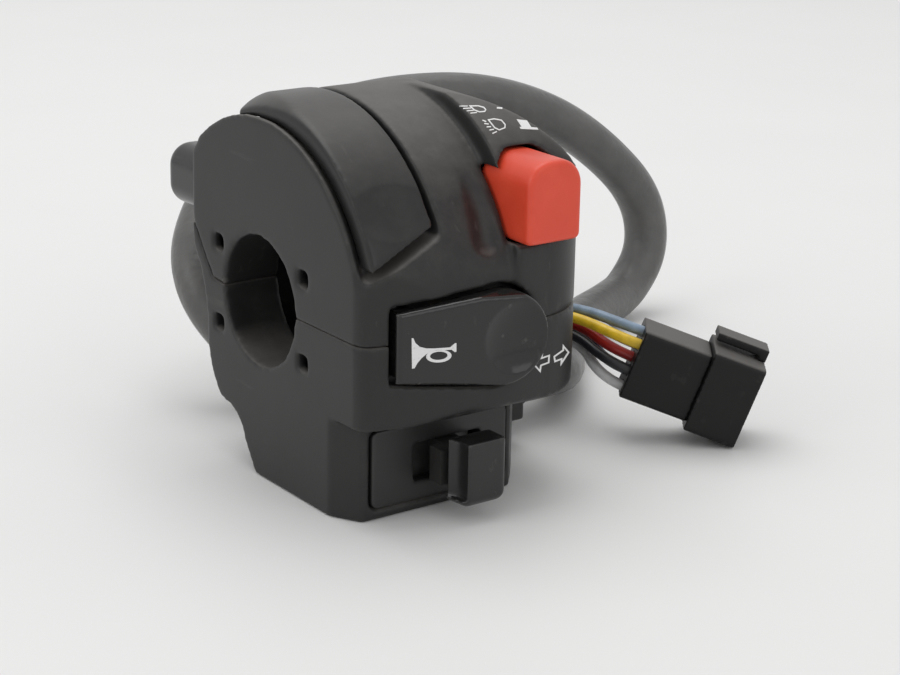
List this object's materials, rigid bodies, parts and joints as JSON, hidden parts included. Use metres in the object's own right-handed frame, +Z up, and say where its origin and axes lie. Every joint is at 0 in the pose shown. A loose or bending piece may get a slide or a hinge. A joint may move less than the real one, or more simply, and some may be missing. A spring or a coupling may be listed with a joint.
{
  "type": "handlebar switch cluster",
  "caption": "Left handlebar switch cluster with choke lever, horn paddle, beam and passing buttons, turn switch, looped loom and plug.",
  "frame": {"origin": "on the handlebar axis, in the plane of the outboard end face", "axes": "+X along the bar towards the middle of the motorcycle, -Y towards the rider, +Z up"},
  "size_m": [0.1238, 0.0986, 0.0656],
  "materials": {
    "case_plastic": "satin",
    "lever_plastic": "satin",
    "horn_plastic": "gloss",
    "red_plastic": "satin",
    "button_plastic": "satin",
    "plate_plastic": "satin",
    "inner_plastic": "matt",
    "steel": "plated",
    "spring_steel": "drawn wire",
    "brass": "brass strip",
    "loom_vinyl": "satin vinyl",
    "boot_rubber": "matt",
    "plug_plastic": "satin",
    "wire_grey": "vinyl",
    "wire_blue": "vinyl",
    "wire_black": "vinyl",
    "wire_red": "vinyl",
    "wire_white": "vinyl",
    "wire_yellow": "vinyl",
    "wire_pale_blue": "vinyl"
  },
  "bodies": {
    "case": {"upper_case": "case_plastic", "lower_case": "case_plastic", "case_screws": "steel", "choke_washer": "steel", "horn_pivot_pin": "steel", "horn_base": "plate_plastic", "horn_contacts": "brass", "horn_spring": "spring_steel", "beam_switch_body": "inner_plastic", "beam_spring": "spring_steel", "turn_face_plate": "plate_plastic", "turn_switch_body": "inner_plastic", "turn_contact_plate": "brass", "passing_switch_body": "inner_plastic", "passing_spring": "spring_steel", "loom_boot": "boot_rubber", "loom_sleeve": "loom_vinyl", "wire_grey": "wire_grey", "wire_blue": "wire_blue", "wire_black": "wire_black", "wire_red": "wire_red", "wire_white": "wire_white", "wire_yellow": "wire_yellow", "wire_pale_blue": "wire_pale_blue", "connector_housing": "plug_plastic", "connector_shroud": "plug_plastic", "connector_latch": "plug_plastic", "connector_terminals": "brass"},
    "choke": {"choke_lever": "lever_plastic"},
    "horn": {"horn_button": "horn_plastic"},
    "beam": {"beam_button": "red_plastic"},
    "turn_slider": {"turn_carriage": "inner_plastic", "detent_ball": "steel", "detent_spring": "spring_steel", "turn_push_spring": "spring_steel"},
    "turn_cap": {"turn_knob": "button_plastic"},
    "passing": {"passing_button": "button_plastic"}
  },
  "joints": [
    {"name": "choke_turn", "type": "hinge", "parent": "case", "child": "choke", "pos_m": [0.005, 0, 0], "axis": [-1, 0, 0], "range_deg": [0, 32]},
    {"name": "horn_press", "type": "hinge", "parent": "case", "child": "horn", "pos_m": [0.008, -0.0272, 0], "axis": [0, 0, 1], "range_deg": [0, 4], "stiffness_Nm_per_rad": 0.1, "springref_deg": -5.73, "deforming": ["horn_spring"]},
    {"name": "beam_push", "type": "slide", "parent": "case", "child": "beam", "axis": [0, 1, 0], "range_m": [0, 0.004], "deforming": ["beam_spring"]},
    {"name": "turn_slide", "type": "slide", "parent": "case", "child": "turn_slider", "axis": [1, 0, 0], "range_m": [-0.0042, 0.0042]},
    {"name": "turn_cancel", "type": "slide", "parent": "turn_slider", "child": "turn_cap", "axis": [0, 1, 0], "range_m": [0, 0.001], "stiffness_N_per_m": 300, "springref_m": -0.001, "deforming": ["turn_push_spring"]},
    {"name": "passing_press", "type": "slide", "parent": "case", "child": "passing", "axis": [0, -1, 0], "range_m": [0, 0.0025], "stiffness_N_per_m": 300, "springref_m": -0.002, "deforming": ["passing_spring"]}
  ]
}
